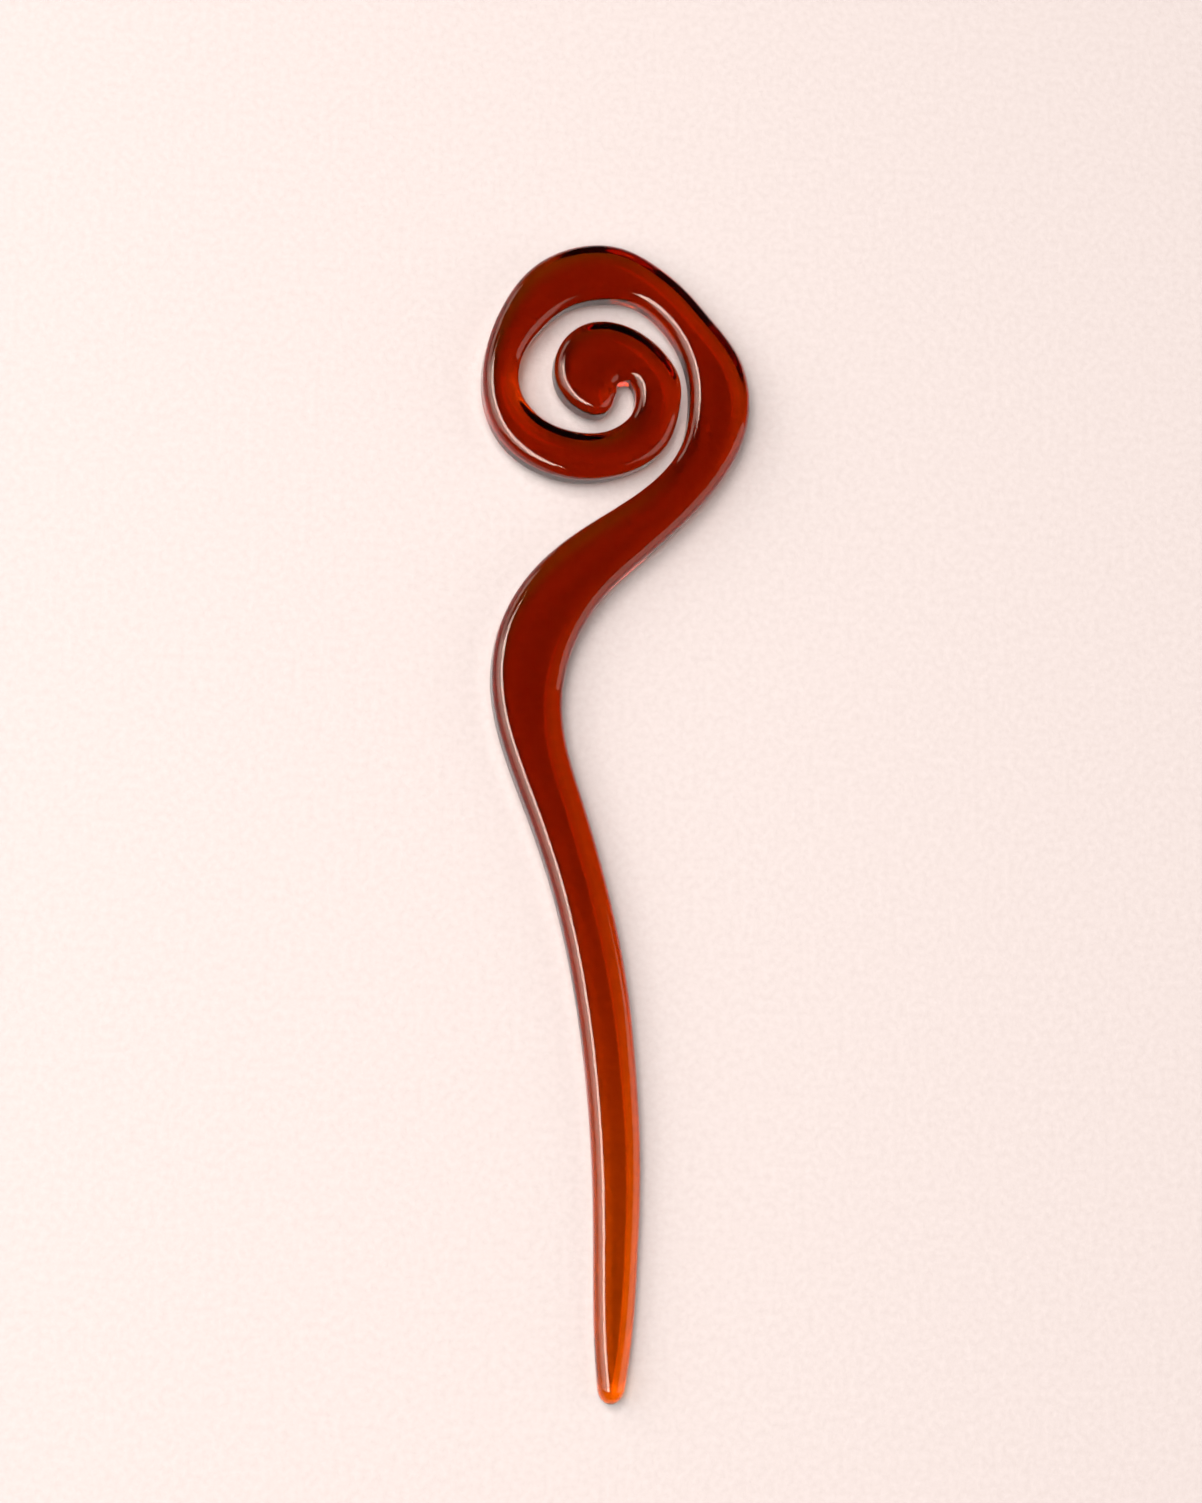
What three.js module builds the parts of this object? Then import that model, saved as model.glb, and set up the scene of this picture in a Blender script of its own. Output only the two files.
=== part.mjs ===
// Hair stick with a spiral head: one flat ribbon, sawn from amber acetate sheet, with its edges
// rounded over and polished. Millimetres, +Z up. The underside lies on z = 0, +Y runs from the
// point towards the head, and the origin is under the middle of the bounding box.
import * as THREE from "three";

// Driving dimensions.
const SHEET_THICKNESS = 6; // of the head and the neck
const TIP_THICKNESS = 3.8; // of the end of the shaft, which is thinned from above
const THINNED_UP_TO = 15; // distance along the ribbon from the point, where the shaft starts to thicken
const FULL_SHEET_FROM = 100; // the same, where it has the sheet's full thickness
const TOP_RADIUS = 1.5; // of the upper edges
const BOTTOM_RADIUS = 2.5; // of the lower edges, at most nearly half of the thickness
const END_RADIUS = 1.6; // of the top and bottom edges at the inner end of the spiral
const ROUNDED_SHARE = 0.96; // most of a narrow section's half width and half height that is rounded away
const POINT_LENGTH = 2; // length of the bullet-shaped end of the shaft
const CURL_END_LENGTH = 1.2; // length over which the inner end of the spiral rounds off
const CURL_END_BLUNTNESS = 2.5; // 2 makes that end an ellipse, and more makes it squarer
const CURL_END_WIDTH = 0.3; // what is left flat at the very end, as a share of the width there

// How finely the surface is divided.
const STEP = 1.6; // between sections along the ribbon
const END_STEPS = 6; // sections in each rounded end
const CORNER_STEPS = 4; // facets in each rounded edge

// The ribbon from the point up the shaft, through the neck and round the ring:
// [x, y, width], with x and y of its centreline measured from the point.
const RIBBON = [
  [0, 0, 3.2],
  [0.3, 7.5, 5],
  [0.7, 20, 6.2],
  [0.8, 32, 6.8],
  [0, 46, 7.2],
  [-1.8, 60, 7.6],
  [-4.6, 72.5, 7.7],
  [-8, 83.5, 8.1],
  [-11, 92.5, 8.8],
  [-12.4, 101, 10.2],
  [-11.6, 108, 11],
  [-8.7, 114.5, 10.8],
  [-3.6, 120.6, 9.7],
  [2.4, 125.6, 8.5],
  [8.2, 130.6, 7.6],
  [13.5, 137.3, 7.7],
  [16, 145.4, 8.9],
  [15.3, 151.6, 8.3],
  [12.1, 157.4, 6.5],
  [8.9, 161.2, 6.3],
  [5.2, 164, 6.7],
  [0.5, 165.6, 8.2],
  [-4.5, 165.2, 8.5],
  [-9.5, 162.7, 7.9],
  [-13.3, 158.3, 6.7],
  [-16, 152.6, 5.5],
  [-16.3, 146, 5.6],
  [-14.1, 141.4, 6.5],
  [-10, 138.3, 7],
  [-3.5, 137.1, 7],
  [1.8, 138.5, 6.9],
  [5.4, 141.6, 7],
];

// The last half turn closes on itself round the eye of the spiral, so its sections fan out from
// there: [angle in degrees, distance to the inner edge, distance to the outer edge].
const EYE = [1.6, 148];
const CURL = [
  [-20, 2, 8.9],
  [10, 1.6, 8.6],
  [35, 1.4, 8.3],
  [60, 1.1, 8.5],
  [90, 0.8, 9.6],
  [120, 0.8, 11],
  [150, 0.9, 11.1],
  [180, 1, 9.9],
  [205, 1.1, 8],
  [225, 1.4, 6.4],
  [240, 2, 5.3],
];

const between = THREE.MathUtils.lerp;

// Running length of a chain of [x, y] points, one value for each point.
function runningLength(points) {
  const lengths = [0];
  for (let i = 1; i < points.length; i++) {
    const dx = points[i][0] - points[i - 1][0];
    const dy = points[i][1] - points[i - 1][1];
    lengths.push(lengths[i - 1] + Math.hypot(dx, dy));
  }
  return lengths;
}

// Natural cubic spline through the values v at the places t, as a function of place.
function naturalSpline(t, v) {
  const last = t.length - 1;
  const bend = new Array(last + 1).fill(0);
  const carry = new Array(last + 1).fill(0);
  for (let i = 1; i < last; i++) {
    const before = t[i] - t[i - 1];
    const after = t[i + 1] - t[i];
    const turn = (v[i + 1] - v[i]) / after - (v[i] - v[i - 1]) / before;
    const pivot = 2 * (before + after) - before * carry[i - 1];
    carry[i] = after / pivot;
    bend[i] = (6 * turn - before * bend[i - 1]) / pivot;
  }
  for (let i = last - 1; i > 0; i--) bend[i] -= carry[i] * bend[i + 1];
  return (place) => {
    let i = 0;
    while (i < last - 1 && place > t[i + 1]) i++;
    const span = t[i + 1] - t[i];
    const a = (t[i + 1] - place) / span;
    const b = 1 - a;
    const curve = (a ** 3 - a) * bend[i] + (b ** 3 - b) * bend[i + 1];
    return a * v[i] + b * v[i + 1] + (curve * span ** 2) / 6;
  };
}

// A spline through points of any dimension, as a function that returns a point.
function splineThrough(places, points) {
  const axes = points[0].map((_, k) => naturalSpline(places, points.map((point) => point[k])));
  return (place) => axes.map((axis) => axis(place));
}

// The two edges at every station, as [left x, left y, right x, right y] seen walking from the point.
function edgePairs() {
  const places = runningLength(RIBBON);
  const centreline = splineThrough(places, RIBBON);
  const nudge = 0.01;
  const ribbon = RIBBON.map(([x, y, width], i) => {
    const [x0, y0] = centreline(places[i] - nudge);
    const [x1, y1] = centreline(places[i] + nudge);
    const half = width / 2 / Math.hypot(x1 - x0, y1 - y0);
    const acrossX = (y0 - y1) * half;
    const acrossY = (x1 - x0) * half;
    return [x + acrossX, y + acrossY, x - acrossX, y - acrossY];
  });
  const curl = CURL.map(([degrees, inner, outer]) => {
    const angle = THREE.MathUtils.degToRad(degrees);
    const [cos, sin] = [Math.cos(angle), Math.sin(angle)];
    return [EYE[0] + inner * cos, EYE[1] + inner * sin, EYE[0] + outer * cos, EYE[1] + outer * sin];
  });
  return [...ribbon, ...curl];
}

// Height of a quarter circle of the given radius, at a distance in from its foot.
function quarterCircle(distance, radius) {
  return Math.sqrt(Math.max(0, radius ** 2 - (radius - Math.min(distance, radius)) ** 2));
}

// Places of the sections: close together in the two rounded ends, even in between.
function sectionPlaces(length) {
  const evenFrom = POINT_LENGTH;
  const evenTo = length - CURL_END_LENGTH;
  const evenSteps = Math.round((evenTo - evenFrom) / STEP);
  const places = [];
  for (let i = 1; i < END_STEPS; i++) {
    places.push(POINT_LENGTH * (1 - Math.cos((i / END_STEPS) * (Math.PI / 2))));
  }
  for (let i = 0; i <= evenSteps; i++) places.push(between(evenFrom, evenTo, i / evenSteps));
  for (let i = 1; i <= END_STEPS; i++) {
    places.push(evenTo + CURL_END_LENGTH * Math.sin((i / END_STEPS) * (Math.PI / 2)));
  }
  return places;
}

// One cross-section, a rectangle with rounded corners, as a loop of points round its middle.
function section(edges, place, length) {
  const [leftX, leftY, rightX, rightY] = edges(place);
  const toPoint = quarterCircle(place, POINT_LENGTH) / POINT_LENGTH;
  const fromEnd = length - place;
  const endShare = 1 - Math.min(1, fromEnd / CURL_END_LENGTH);
  const toEnd = Math.max(CURL_END_WIDTH, (1 - endShare ** CURL_END_BLUNTNESS) ** (1 / CURL_END_BLUNTNESS));

  const fullWidth = Math.hypot(rightX - leftX, rightY - leftY);
  const width = fullWidth * toPoint * toEnd;
  const thicken = THREE.MathUtils.smoothstep(place, THINNED_UP_TO, FULL_SHEET_FROM);
  const thickness = between(TIP_THICKNESS, SHEET_THICKNESS, thicken);
  const endDrop = END_RADIUS - quarterCircle(fromEnd, END_RADIUS);
  const halfHeight = (thickness / 2) * toPoint - endDrop;
  const mostRounded = ROUNDED_SHARE * Math.min(width / 2, halfHeight);

  const middle = new THREE.Vector3((leftX + rightX) / 2, (leftY + rightY) / 2, thickness / 2);
  const across = new THREE.Vector3(rightX - leftX, rightY - leftY, 0).divideScalar(fullWidth);
  const corners = [[1, -1], [1, 1], [-1, 1], [-1, -1]];
  const loop = corners.flatMap(([side, level], corner) => {
    const radius = Math.min(level > 0 ? TOP_RADIUS : BOTTOM_RADIUS, mostRounded);
    const points = [];
    for (let i = 0; i <= CORNER_STEPS; i++) {
      const turned = (corner % 2 === 0 ? CORNER_STEPS - i : i) / CORNER_STEPS;
      const angle = (turned * Math.PI) / 2;
      const out = side * (width / 2 - radius + radius * Math.cos(angle));
      const up = level * (halfHeight - radius + radius * Math.sin(angle));
      const point = middle.clone().addScaledVector(across, out);
      point.z += up;
      points.push(point);
    }
    return points;
  });
  return { middle, loop };
}

// Closed surface over the loops of the sections, with a fan of triangles over each end.
function skin(sections, startApex) {
  const vertices = sections.flatMap(({ loop }) => loop);
  const round = sections[0].loop.length;
  const triangles = [];
  for (let row = 0; row < sections.length - 1; row++) {
    for (let i = 0; i < round; i++) {
      const a = row * round + i;
      const b = row * round + ((i + 1) % round);
      triangles.push(a, a + round, b, b, a + round, b + round);
    }
  }
  const lastRow = (sections.length - 1) * round;
  const start = vertices.push(startApex) - 1;
  const end = vertices.push(sections.at(-1).middle) - 1;
  for (let i = 0; i < round; i++) {
    const next = (i + 1) % round;
    triangles.push(start, i, next, end, lastRow + next, lastRow + i);
  }
  const geometry = new THREE.BufferGeometry().setFromPoints(vertices);
  geometry.setIndex(triangles);
  return geometry;
}

// The whole ribbon as one solid, moved so that the origin is under the middle of its box.
function hairStickGeometry() {
  const pairs = edgePairs();
  const middles = pairs.map(([lx, ly, rx, ry]) => [(lx + rx) / 2, (ly + ry) / 2]);
  const places = runningLength(middles);
  const length = places.at(-1);
  const edges = splineThrough(places, pairs);
  const sections = sectionPlaces(length).map((place) => section(edges, place, length));
  const [lx, ly, rx, ry] = edges(0);
  const point = new THREE.Vector3((lx + rx) / 2, (ly + ry) / 2, TIP_THICKNESS / 2);
  const geometry = skin(sections, point);

  geometry.computeBoundingBox();
  const box = geometry.boundingBox;
  geometry.translate(-(box.min.x + box.max.x) / 2, -(box.min.y + box.max.y) / 2, -box.min.z);
  geometry.computeVertexNormals();
  return geometry;
}

const amberAcetate = new THREE.MeshStandardMaterial({ color: 0x7a1400, roughness: 0.08, metalness: 0 });

const hairStick = new THREE.Mesh(hairStickGeometry(), amberAcetate);
hairStick.name = "hair_stick";

const group = new THREE.Group();
group.add(hairStick);

export default group;
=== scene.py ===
"""Blender scene of a spiral-headed hair stick: one flat ribbon of translucent amber acetate, lying on
pale paper. Lengths in the tables are in millimetres, as the stick is drawn, and what is built from
them is in metres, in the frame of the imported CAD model."""
import math

import bpy
import numpy as np
from mathutils import Matrix, Vector

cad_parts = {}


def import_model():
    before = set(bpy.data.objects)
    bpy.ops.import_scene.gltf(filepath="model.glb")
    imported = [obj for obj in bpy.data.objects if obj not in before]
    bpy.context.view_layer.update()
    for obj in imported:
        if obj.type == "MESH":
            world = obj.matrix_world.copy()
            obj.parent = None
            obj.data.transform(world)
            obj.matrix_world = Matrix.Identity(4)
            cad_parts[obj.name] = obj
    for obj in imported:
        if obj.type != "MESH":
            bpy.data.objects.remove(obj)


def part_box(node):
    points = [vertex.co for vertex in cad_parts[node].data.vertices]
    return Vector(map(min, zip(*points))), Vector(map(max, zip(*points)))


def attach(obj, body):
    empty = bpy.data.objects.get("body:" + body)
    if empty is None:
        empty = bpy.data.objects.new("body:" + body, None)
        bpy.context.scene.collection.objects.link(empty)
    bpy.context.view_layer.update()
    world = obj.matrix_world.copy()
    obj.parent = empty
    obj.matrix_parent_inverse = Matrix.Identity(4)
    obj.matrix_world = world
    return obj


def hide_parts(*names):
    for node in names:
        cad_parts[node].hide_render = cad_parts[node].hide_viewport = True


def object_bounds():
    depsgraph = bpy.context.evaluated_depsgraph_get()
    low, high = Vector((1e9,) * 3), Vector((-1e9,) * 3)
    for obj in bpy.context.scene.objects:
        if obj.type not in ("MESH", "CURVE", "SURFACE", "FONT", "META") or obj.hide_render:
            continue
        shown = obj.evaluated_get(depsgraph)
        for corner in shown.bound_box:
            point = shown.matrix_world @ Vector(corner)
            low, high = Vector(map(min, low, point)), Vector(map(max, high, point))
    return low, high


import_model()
cad_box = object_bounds()

MM = 0.001

# The stick's driving dimensions.
SHEET_THICKNESS = 6.0  # of the head and the neck
TIP_THICKNESS = 3.8  # of the end of the shaft, which is thinned from above
THINNED_UP_TO = 15.0  # distance along the ribbon from the point, where the shaft starts to thicken
FULL_SHEET_FROM = 100.0  # the same, where it has the sheet's full thickness
TOP_RADIUS = 1.5  # of the upper edges
BOTTOM_RADIUS = 2.5  # of the lower edges, at most nearly half of the thickness
ROUNDED_SHARE = 0.96  # most of a section's half width and half height that is rounded away
END_RADIUS = 1.6  # of the top and bottom edges at the inner end of the spiral
POINT_LENGTH = 2.0  # length of the bullet-shaped end of the shaft
CURL_END_LENGTH = 1.2  # length over which the inner end of the spiral rounds off
CURL_END_BLUNTNESS = 2.5  # 2 makes that end an ellipse, and more makes it squarer
CURL_END_WIDTH = 0.3  # what is left flat at the very end, as a share of the width there

# How finely the surface is divided.
STEP = 0.4  # between sections along the ribbon
END_STEPS = 24  # sections in each rounded end
CORNER_STEPS = 12  # facets in each rounded edge
FLAT_MARGIN = 0.05  # of a strip that keeps the flats flat beside each rounded edge

# The acetate. Sizes and depths are in millimetres.
ACETATE_IOR = 1.48
DEPTH_COLOUR, DEPTH_DENSITY = (0.944, 0.838, 0, 1), 2500  # the density is per metre
CLEAR_TINT, WARM_TINT = (1, 1, 1, 1), (1, 0.93, 0.86, 1)
TINT_SIZE, TINT_STRETCH = 22, (1, 3, 1)
SPECK_COLOUR = (0.5, 0.36, 0.3, 1)
SPECK_SPACING, SPECK_SIZE = 5, 0.09
WAVE_SIZE, WAVE_DEPTH = 7, 0.05
HAZE_SIZE, HAZE = 9, (0.02, 0.045)  # the haze, like the next two, is a roughness
SCRATCH_SIZE, SCRATCH_STRETCH, SCRATCH_DEPTH = 0.12, (1, 40, 1), 0.0006
SCRATCH_CUT, SCRATCHED = (0.66, 0.74), 0.05
WEAR_SIZE, WEAR_CUT, WORN = 5, (0.45, 0.65), 0.06
EDGE_SLOPE = (0.97, 0.75)  # upward part of the surface's normal, where wear starts and where it is full

# The paper. Sizes and depths are in millimetres, and half of its side is in metres.
PAPER_HALF = 0.5
PAPER_GAP = 0.1  # air left under the stick by the tooth of the paper
PAPER_DARK, PAPER_LIGHT = (0.366, 0.364, 0.405, 1), (0.394, 0.395, 0.441, 1)  # cool, under warm light
TOOTH_SIZE, TOOTH_DEPTH = 1, 0.07
FIBRE_SIZE, FIBRE_STRETCH, FIBRE_DEPTH = 0.35, (3, 1, 1), 0.02
PAPER_ROUGHNESS = (0.85, 0.95)
PAPER_SHEEN = 0.2
TOOTH_DETAIL, FIBRE_DETAIL = 6, 5  # octaves of the noises

NOISE_SPAN = (0.3, 0.7)  # nearly all the values of a noise lie between these

# The soft lights: (name, azimuth, elevation, (width, height) in metres, radiance). The azimuth is 0
# towards -Y and 90 towards +X. Angles are in degrees, and the paper in full light has a radiance near 1.
LIGHTS = (
    ("window", -86, 60, (1.35, 1), 5),
    ("sky_through_window", -86, 77, (1.1, 0.5), 12),
    ("window_edge", -110, 26, (1.7, 0.65), 3),
    ("far_wall", 80, 30, (0.9, 1.3), 1.7),
)
LIGHT_DISTANCE = 1.2  # of them all from the stick, in metres
LIGHT_COLOUR = (1, 0.85, 0.72)
ROOM_COLOUR, ROOM_STRENGTH = (1, 0.97, 0.95, 1), 0.012
BACKDROP_COLOUR, BACKDROP_STRENGTH = (0.95, 0.85, 0.82, 1), 0.9

# The view: the angles as for the lights, the distance in metres, the aim in millimetres.
CAMERA_AZIMUTH, CAMERA_ELEVATION = -33.4, 73.6
CAMERA_DISTANCE = 0.584
CAMERA_AIM = (-1.6, 8.9, 0)
LENS, SENSOR_WIDTH = 96.5, 36

# How often light may pass through the plastic, and how often it may be mirrored.
THROUGH_BOUNCES, MIRROR_BOUNCES = 24, 8

# The ribbon from the point up the shaft, through the neck and round the ring:
# (x, y, width), with x and y of its centreline measured from the point.
RIBBON = np.array([
    (0, 0, 3.2),
    (0.3, 7.5, 5),
    (0.7, 20, 6.2),
    (0.8, 32, 6.8),
    (0, 46, 7.2),
    (-1.8, 60, 7.6),
    (-4.6, 72.5, 7.7),
    (-8, 83.5, 8.1),
    (-11, 92.5, 8.8),
    (-12.4, 101, 10.2),
    (-11.6, 108, 11),
    (-8.7, 114.5, 10.8),
    (-3.6, 120.6, 9.7),
    (2.4, 125.6, 8.5),
    (8.2, 130.6, 7.6),
    (13.5, 137.3, 7.7),
    (16, 145.4, 8.9),
    (15.3, 151.6, 8.3),
    (12.1, 157.4, 6.5),
    (8.9, 161.2, 6.3),
    (5.2, 164, 6.7),
    (0.5, 165.6, 8.2),
    (-4.5, 165.2, 8.5),
    (-9.5, 162.7, 7.9),
    (-13.3, 158.3, 6.7),
    (-16, 152.6, 5.5),
    (-16.3, 146, 5.6),
    (-14.1, 141.4, 6.5),
    (-10, 138.3, 7),
    (-3.5, 137.1, 7),
    (1.8, 138.5, 6.9),
    (5.4, 141.6, 7),
])

# The last half turn closes on itself round the eye of the spiral, so its sections fan out from
# there: (angle in degrees, distance to the inner edge, distance to the outer edge).
EYE = np.array((1.6, 148))
CURL = np.array([
    (-20, 2, 8.9),
    (10, 1.6, 8.6),
    (35, 1.4, 8.3),
    (60, 1.1, 8.5),
    (90, 0.8, 9.6),
    (120, 0.8, 11),
    (150, 0.9, 11.1),
    (180, 1, 9.9),
    (205, 1.1, 8),
    (225, 1.4, 6.4),
    (240, 2, 5.3),
])


def running_length(points):
    """Running length of a chain of points, one value for each point."""
    return np.concatenate(([0], np.cumsum(np.linalg.norm(np.diff(points, axis=0), axis=1))))


def spline_through(places, points):
    """Natural cubic spline through points at the given places, as a function of an array of places."""
    count = len(places)
    span = np.diff(places)
    slope = np.diff(points, axis=0) / span[:, None]
    system = np.eye(count)
    turn = np.zeros_like(points, dtype=float)
    for i in range(1, count - 1):
        system[i, i - 1:i + 2] = span[i - 1], 2 * (span[i - 1] + span[i]), span[i]
        turn[i] = 6 * (slope[i] - slope[i - 1])
    bend = np.linalg.solve(system, turn)

    def at(where):
        i = np.clip(np.searchsorted(places, where) - 1, 0, count - 2)
        b = ((where - places[i]) / span[i])[:, None]
        a = 1 - b
        curve = (a**3 - a) * bend[i] + (b**3 - b) * bend[i + 1]
        return a * points[i] + b * points[i + 1] + curve * span[i][:, None]**2 / 6

    return at


def edge_pairs():
    """Left and right edge at every station, walking from the point: an array of (side, station, xy)."""
    places = running_length(RIBBON[:, :2])
    centreline = spline_through(places, RIBBON[:, :2])
    nudge = 0.01
    run = centreline(places + nudge) - centreline(places - nudge)
    run /= np.linalg.norm(run, axis=1, keepdims=True)
    across = np.column_stack((-run[:, 1], run[:, 0])) * RIBBON[:, 2:] / 2
    ribbon = RIBBON[:, :2] + across, RIBBON[:, :2] - across

    angle = np.radians(CURL[:, 0])
    ray = np.column_stack((np.cos(angle), np.sin(angle)))
    curl = EYE + ray * CURL[:, 1:2], EYE + ray * CURL[:, 2:3]
    return np.array([np.vstack(side) for side in zip(ribbon, curl)])


def quarter_circle(distance, radius):
    """Height of a quarter circle of the given radius, at a distance in from its foot."""
    return np.sqrt(np.maximum(0, radius**2 - (radius - np.minimum(distance, radius))**2))


def section_places(length):
    """Places of the sections: close together in the two rounded ends, even in between."""
    turned = np.arange(1, END_STEPS) / END_STEPS * math.pi / 2
    point = POINT_LENGTH * (1 - np.cos(turned))
    even_to = length - CURL_END_LENGTH
    even = np.linspace(POINT_LENGTH, even_to, round((even_to - POINT_LENGTH) / STEP) + 1)
    end = even_to + CURL_END_LENGTH * np.sin(np.append(turned, math.pi / 2))
    return np.concatenate((point, even, end))


def smoothstep(place, start, end):
    """A smooth rise from 0 at the start to 1 at the end."""
    share = np.clip((place - start) / (end - start), 0, 1)
    return share**2 * (3 - 2 * share)


def section_sizes(places, length):
    """The sections' share of the full width, the thickness of the sheet there, and their half height."""
    to_point = quarter_circle(places, POINT_LENGTH) / POINT_LENGTH
    from_end = length - places
    end_share = 1 - np.minimum(1, from_end / CURL_END_LENGTH)
    to_end = (1 - end_share**CURL_END_BLUNTNESS)**(1 / CURL_END_BLUNTNESS)
    width_share = to_point * np.maximum(CURL_END_WIDTH, to_end)

    thicken = smoothstep(places, THINNED_UP_TO, FULL_SHEET_FROM)
    thickness = TIP_THICKNESS + (SHEET_THICKNESS - TIP_THICKNESS) * thicken
    end_drop = END_RADIUS - quarter_circle(from_end, END_RADIUS)
    return width_share, thickness, thickness / 2 * to_point - end_drop


def section_loops(edges, places, length):
    """Every cross-section, a rectangle with rounded corners, as an array of (section, point, xyz)."""
    left, right = (side(places) for side in edges)
    width_share, thickness, half_height = section_sizes(places, length)
    full_width = np.linalg.norm(right - left, axis=1)
    half_width = full_width * width_share / 2
    most = ROUNDED_SHARE * np.minimum(half_width, half_height)
    radii = {1: np.minimum(TOP_RADIUS, most), -1: np.minimum(BOTTOM_RADIUS, most)}

    middle = np.column_stack(((left + right) / 2, thickness / 2))
    across = np.column_stack(((right - left) / full_width[:, None], np.zeros(len(places))))
    turned = np.linspace(0, math.pi / 2, CORNER_STEPS + 1)
    rounded = [(math.cos(angle), math.sin(angle), 0, 0) for angle in turned]
    margins = [(1, 0, 0, FLAT_MARGIN)] + rounded + [(0, 1, FLAT_MARGIN, 0)]
    points = []
    for corner, (side, level) in enumerate(((1, -1), (1, 1), (-1, 1), (-1, -1))):
        radius = radii[level]
        side_flat, level_flat = half_width - radius, half_height - radius
        for cos, sin, in_side, in_level in margins if corner % 2 else reversed(margins):
            out = side * (side_flat - np.minimum(in_side, side_flat / 2) + radius * cos)
            up = level * (level_flat - np.minimum(in_level, level_flat / 2) + radius * sin)
            points.append(middle + across * out[:, None] + np.array((0, 0, 1)) * up[:, None])
    return np.stack(points, axis=1)


def skin(loops, start, end):
    """Vertices and faces of the closed surface over the loops, with a fan over each end."""
    rows, round_count = loops.shape[:2]
    vertices = np.vstack((loops.reshape(-1, 3), start, end))
    first = np.arange(round_count)
    following = np.roll(first, -1)
    faces = []
    for row in range(rows - 1):
        a, b = row * round_count + first, row * round_count + following
        faces += np.column_stack((a, a + round_count, b + round_count, b)).tolist()
    start_index, end_index = rows * round_count, rows * round_count + 1
    last_row = (rows - 1) * round_count
    for i, j in zip(first.tolist(), following.tolist()):
        faces += [(start_index, i, j), (end_index, last_row + j, last_row + i)]
    return vertices, faces


def hair_stick_mesh():
    """The whole ribbon as one closed surface, placed in the box of its CAD node."""
    pairs = edge_pairs()
    middles = pairs.mean(axis=0)
    stations = running_length(middles)
    length = stations[-1]
    edges = [spline_through(stations, side) for side in pairs]
    loops = section_loops(edges, section_places(length), length)
    start = (*middles[0], TIP_THICKNESS / 2)
    end = (*middles[-1], SHEET_THICKNESS / 2)
    vertices, faces = skin(loops, start, end)

    low, high = (np.array(corner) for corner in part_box("hair_stick"))
    drawn_low, drawn_high = vertices.min(axis=0) * MM, vertices.max(axis=0) * MM
    shift = (low + high) / 2 - (drawn_low + drawn_high) / 2
    shift[2] = low[2] - drawn_low[2]
    mesh = bpy.data.meshes.new("hair_stick_surface")
    mesh.from_pydata((vertices * MM + shift).tolist(), [], faces)
    mesh.shade_smooth()
    return mesh


def new_material(name):
    """An empty node material, with its node tree and its output."""
    material = bpy.data.materials.new(name)
    material.use_nodes = True
    tree = material.node_tree
    tree.nodes.clear()
    return material, tree, tree.nodes.new("ShaderNodeOutputMaterial")


def noise(tree, size, stretch=(1, 1, 1), detail=2):
    """Soft noise from 0 to 1 in the object's own space, with features of a size in millimetres."""
    place = tree.nodes.new("ShaderNodeTexCoord")
    scaling = tree.nodes.new("ShaderNodeMapping")
    scaling.inputs["Scale"].default_value = [1 / (size * MM * longer) for longer in stretch]
    texture = tree.nodes.new("ShaderNodeTexNoise")
    texture.inputs["Scale"].default_value = 1
    texture.inputs["Detail"].default_value = detail
    tree.links.new(place.outputs["Object"], scaling.inputs["Vector"])
    tree.links.new(scaling.outputs["Vector"], texture.inputs["Vector"])
    return texture.outputs["Fac"]


def remap(tree, value, before, after=(0, 1)):
    """A value carried from one range to another, and held at its ends."""
    node = tree.nodes.new("ShaderNodeMapRange")
    node.inputs["From Min"].default_value, node.inputs["From Max"].default_value = before
    node.inputs["To Min"].default_value, node.inputs["To Max"].default_value = after
    tree.links.new(value, node.inputs["Value"])
    return node.outputs["Result"]


def combine(tree, operation, first, second):
    """Two values put together by a named operation of the Math node."""
    node = tree.nodes.new("ShaderNodeMath")
    node.operation = operation
    tree.links.new(first, node.inputs[0])
    tree.links.new(second, node.inputs[1])
    return node.outputs["Value"]


def mix_colour(tree, factor, first, second):
    """A mix of a fixed second colour into the first, which is a fixed colour or another node's."""
    node = tree.nodes.new("ShaderNodeMix")
    node.data_type = "RGBA"
    if isinstance(first, bpy.types.NodeSocket):
        tree.links.new(first, node.inputs["A"])
    else:
        node.inputs["A"].default_value = first
    node.inputs["B"].default_value = second
    tree.links.new(factor, node.inputs["Factor"])
    return node.outputs["Result"]


def bump(tree, height, depth, under=None):
    """A normal from a height of 0 to 1 that stands for a depth in millimetres, over another normal."""
    node = tree.nodes.new("ShaderNodeBump")
    node.inputs["Strength"].default_value = 1
    node.inputs["Distance"].default_value = depth * MM
    tree.links.new(height, node.inputs["Height"])
    if under:
        tree.links.new(under, node.inputs["Normal"])
    return node.outputs["Normal"]


def specks(tree):
    """1 in small round specks, at most one to a cell, and 0 elsewhere."""
    place = tree.nodes.new("ShaderNodeTexCoord")
    cells = tree.nodes.new("ShaderNodeTexVoronoi")
    cells.inputs["Scale"].default_value = 1 / (SPECK_SPACING * MM)
    tree.links.new(place.outputs["Object"], cells.inputs["Vector"])
    return remap(tree, cells.outputs["Distance"], (SPECK_SIZE / SPECK_SPACING, 0))


def edge_wear(tree):
    """1 on the rounded upper edges where the polish is rubbed, in soft patches, and 0 elsewhere."""
    place = tree.nodes.new("ShaderNodeTexCoord")
    split = tree.nodes.new("ShaderNodeSeparateXYZ")
    tree.links.new(place.outputs["Normal"], split.inputs["Vector"])
    on_edge = remap(tree, split.outputs["Z"], EDGE_SLOPE)
    patches = remap(tree, noise(tree, WEAR_SIZE), WEAR_CUT)
    return combine(tree, "MULTIPLY", on_edge, patches)


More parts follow.
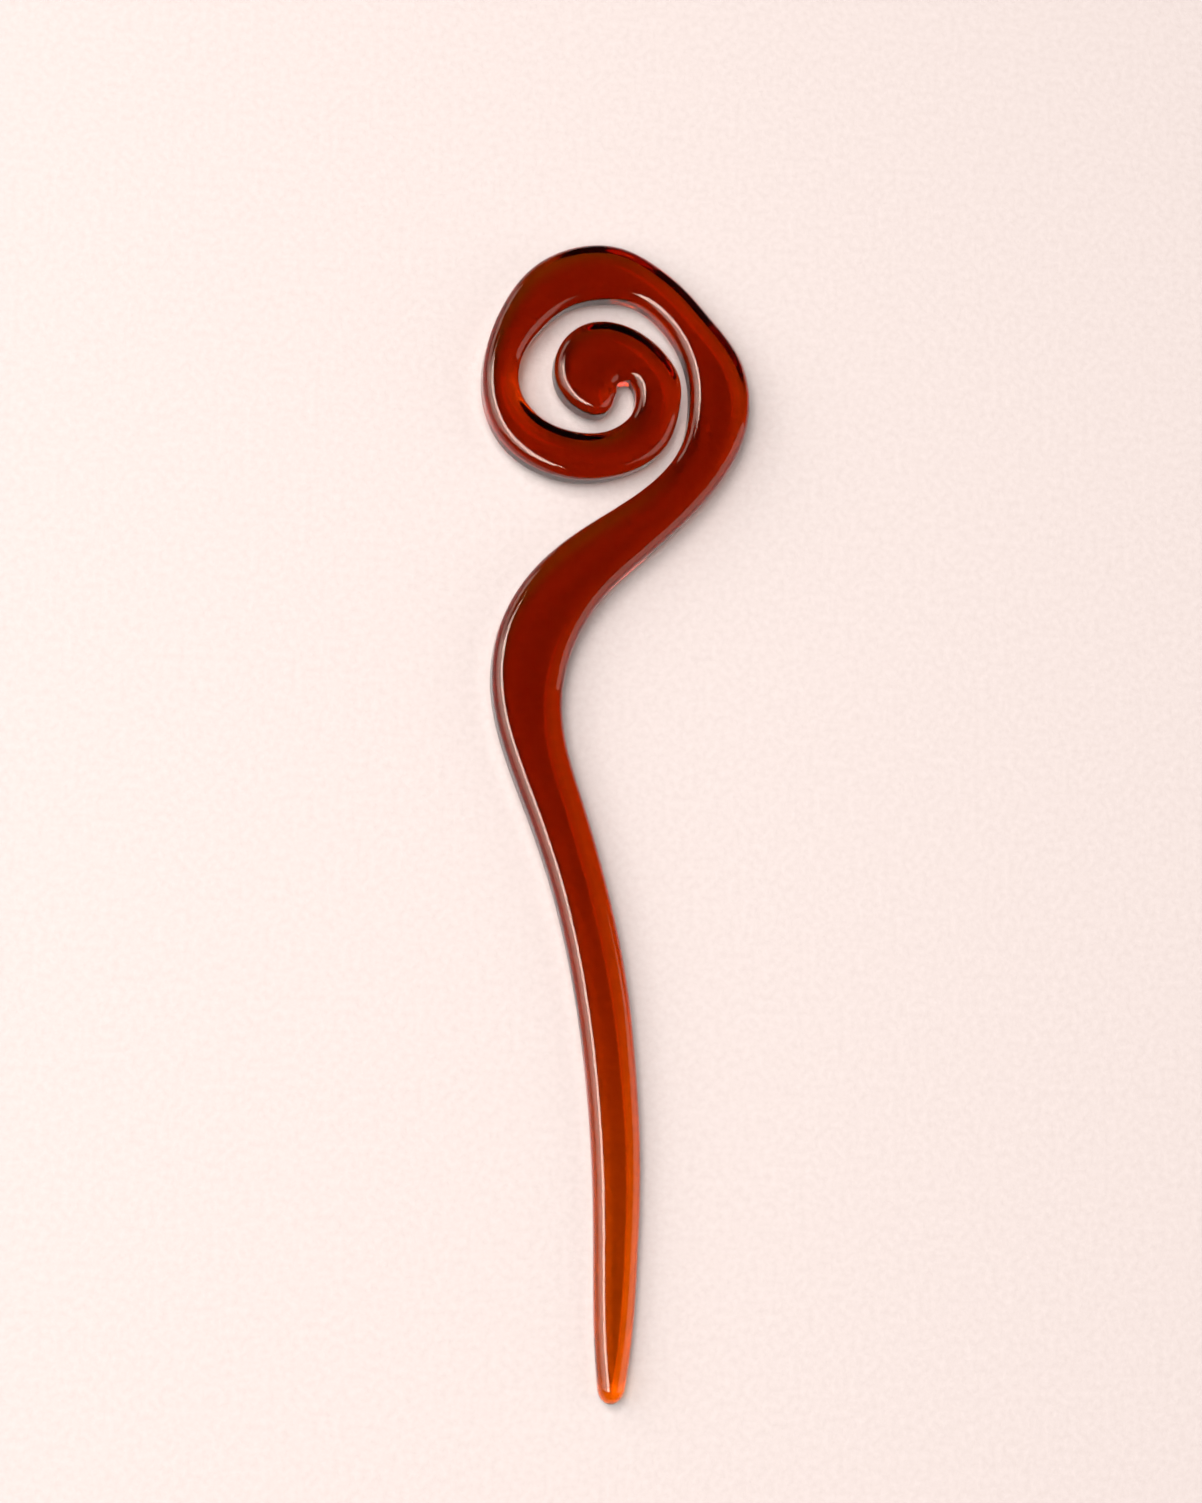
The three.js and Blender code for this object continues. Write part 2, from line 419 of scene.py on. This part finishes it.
def acetate_roughness(tree, scratches):
    """Faint haze, rougher in the scratches and on the worn edges."""
    haze = remap(tree, noise(tree, HAZE_SIZE), NOISE_SPAN, HAZE)
    scratched = remap(tree, scratches, (0, 1), (0, SCRATCHED))
    worn = remap(tree, edge_wear(tree), (0, 1), (0, WORN))
    return combine(tree, "ADD", combine(tree, "ADD", haze, scratched), worn)


def acetate():
    """Polished amber plastic: clear to look through, tinted by its depth, and lightly used."""
    material, tree, output = new_material("amber_acetate")
    surface = tree.nodes.new("ShaderNodeBsdfPrincipled")
    surface.inputs["Transmission Weight"].default_value = 1
    surface.inputs["IOR"].default_value = ACETATE_IOR

    # The sheet's colour drifts a little along the stick, and it holds a few dark specks.
    drift = remap(tree, noise(tree, TINT_SIZE, TINT_STRETCH), NOISE_SPAN)
    tint = mix_colour(tree, drift, CLEAR_TINT, WARM_TINT)
    tree.links.new(mix_colour(tree, specks(tree), tint, SPECK_COLOUR), surface.inputs["Base Color"])

    # Handling leaves hairline scratches along the stick, over the waves that hand polishing leaves.
    scratches = remap(tree, noise(tree, SCRATCH_SIZE, SCRATCH_STRETCH), SCRATCH_CUT)
    tree.links.new(acetate_roughness(tree, scratches), surface.inputs["Roughness"])
    waves = bump(tree, noise(tree, WAVE_SIZE), WAVE_DEPTH)
    tree.links.new(bump(tree, scratches, SCRATCH_DEPTH, under=waves), surface.inputs["Normal"])
    tree.links.new(surface.outputs["BSDF"], output.inputs["Surface"])

    depth = tree.nodes.new("ShaderNodeVolumeAbsorption")
    depth.inputs["Color"].default_value = DEPTH_COLOUR
    depth.inputs["Density"].default_value = DEPTH_DENSITY
    tree.links.new(depth.outputs["Volume"], output.inputs["Volume"])
    return material


def paper():
    """Pale paper with a soft fibrous tooth, which looks pink in the warm light."""
    material, tree, output = new_material("pale_paper")
    surface = tree.nodes.new("ShaderNodeBsdfPrincipled")
    surface.inputs["Specular IOR Level"].default_value = PAPER_SHEEN

    tooth = noise(tree, TOOTH_SIZE, detail=TOOTH_DETAIL)
    colour = mix_colour(tree, remap(tree, tooth, NOISE_SPAN), PAPER_DARK, PAPER_LIGHT)
    tree.links.new(colour, surface.inputs["Base Color"])
    fibres = noise(tree, FIBRE_SIZE, FIBRE_STRETCH, detail=FIBRE_DETAIL)
    tree.links.new(remap(tree, fibres, NOISE_SPAN, PAPER_ROUGHNESS), surface.inputs["Roughness"])
    relief = bump(tree, tooth, TOOTH_DEPTH)
    tree.links.new(bump(tree, fibres, FIBRE_DEPTH, under=relief), surface.inputs["Normal"])
    tree.links.new(surface.outputs["BSDF"], output.inputs["Surface"])
    return material


def hair_stick():
    """The stick itself, which stands for its plain CAD solid."""
    stick = bpy.data.objects.new("hair_stick_polished", hair_stick_mesh())
    bpy.context.scene.collection.objects.link(stick)
    stick.data.materials.append(acetate())
    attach(stick, "root")
    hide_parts("hair_stick")


def direction(azimuth, elevation):
    """Unit vector towards a place round the stick."""
    a, e = math.radians(azimuth), math.radians(elevation)
    return Vector((math.sin(a) * math.cos(e), -math.cos(a) * math.cos(e), math.sin(e)))


def floor():
    """A sheet of paper much larger than the view, under the stick."""
    mesh = bpy.data.meshes.new("floor")
    corners = [(x * PAPER_HALF, y * PAPER_HALF, 0) for x, y in ((-1, -1), (1, -1), (1, 1), (-1, 1))]
    mesh.from_pydata(corners, [], [(0, 1, 2, 3)])
    sheet = bpy.data.objects.new("floor", mesh)
    bpy.context.scene.collection.objects.link(sheet)
    sheet.data.materials.append(paper())
    sheet.location.z = cad_box[0].z - PAPER_GAP * MM


def soft_light(name, azimuth, elevation, size, radiance):
    """A soft box that faces the stick."""
    light = bpy.data.lights.new(name, "AREA")
    light.shape = "RECTANGLE"
    light.size, light.size_y = size
    light.energy = radiance * math.pi * size[0] * size[1]
    light.color = LIGHT_COLOUR
    lamp = bpy.data.objects.new(name, light)
    back = direction(azimuth, elevation)
    lamp.location = back * LIGHT_DISTANCE
    lamp.rotation_euler = (-back).to_track_quat("-Z", "Y").to_euler()
    bpy.context.scene.collection.objects.link(lamp)


def world():
    """Dim light from all round, and a pale backdrop where the camera looks past the floor."""
    surroundings = bpy.data.worlds.new("studio")
    surroundings.use_nodes = True
    tree = surroundings.node_tree
    nodes, link = tree.nodes, tree.links.new
    nodes.clear()
    seen, dim, pale = (nodes.new(kind) for kind in (
        "ShaderNodeLightPath", "ShaderNodeBackground", "ShaderNodeBackground"))
    dim.inputs["Color"].default_value = ROOM_COLOUR
    dim.inputs["Strength"].default_value = ROOM_STRENGTH
    pale.inputs["Color"].default_value = BACKDROP_COLOUR
    pale.inputs["Strength"].default_value = BACKDROP_STRENGTH
    pick, output = nodes.new("ShaderNodeMixShader"), nodes.new("ShaderNodeOutputWorld")
    link(seen.outputs["Is Camera Ray"], pick.inputs["Fac"])
    link(dim.outputs["Background"], pick.inputs[1])
    link(pale.outputs["Background"], pick.inputs[2])
    link(pick.outputs["Shader"], output.inputs["Surface"])
    bpy.context.scene.world = surroundings


def camera():
    """The view down on the stick, turned so that the stick's long axis runs up the picture."""
    data = bpy.data.cameras.new("camera")
    data.lens = LENS
    data.sensor_width = SENSOR_WIDTH
    eye = bpy.data.objects.new("camera", data)
    back = direction(CAMERA_AZIMUTH, CAMERA_ELEVATION)
    along = Vector((0, 1, 0))
    up = (along - back * along.dot(back)).normalized()
    turn = Matrix((up.cross(back), up, back)).transposed()
    place = Vector(CAMERA_AIM) * MM + back * CAMERA_DISTANCE
    eye.matrix_world = Matrix.Translation(place) @ turn.to_4x4()
    bpy.context.scene.collection.objects.link(eye)
    bpy.context.scene.camera = eye


def render_settings():
    """Plain colour, and enough bounces for light that runs through the plastic."""
    scene = bpy.context.scene
    scene.view_settings.view_transform = "Standard"
    scene.view_settings.look = "None"
    scene.cycles.max_bounces = THROUGH_BOUNCES
    scene.cycles.transmission_bounces = THROUGH_BOUNCES
    scene.cycles.glossy_bounces = MIRROR_BOUNCES
    scene.cycles.caustics_refractive = True
    scene.cycles.caustics_reflective = True
    scene.cycles.blur_glossy = 0.0
    scene.cycles.sample_clamp_indirect = 0


hair_stick()
floor()
for light in LIGHTS:
    soft_light(*light)
world()
camera()
render_settings()
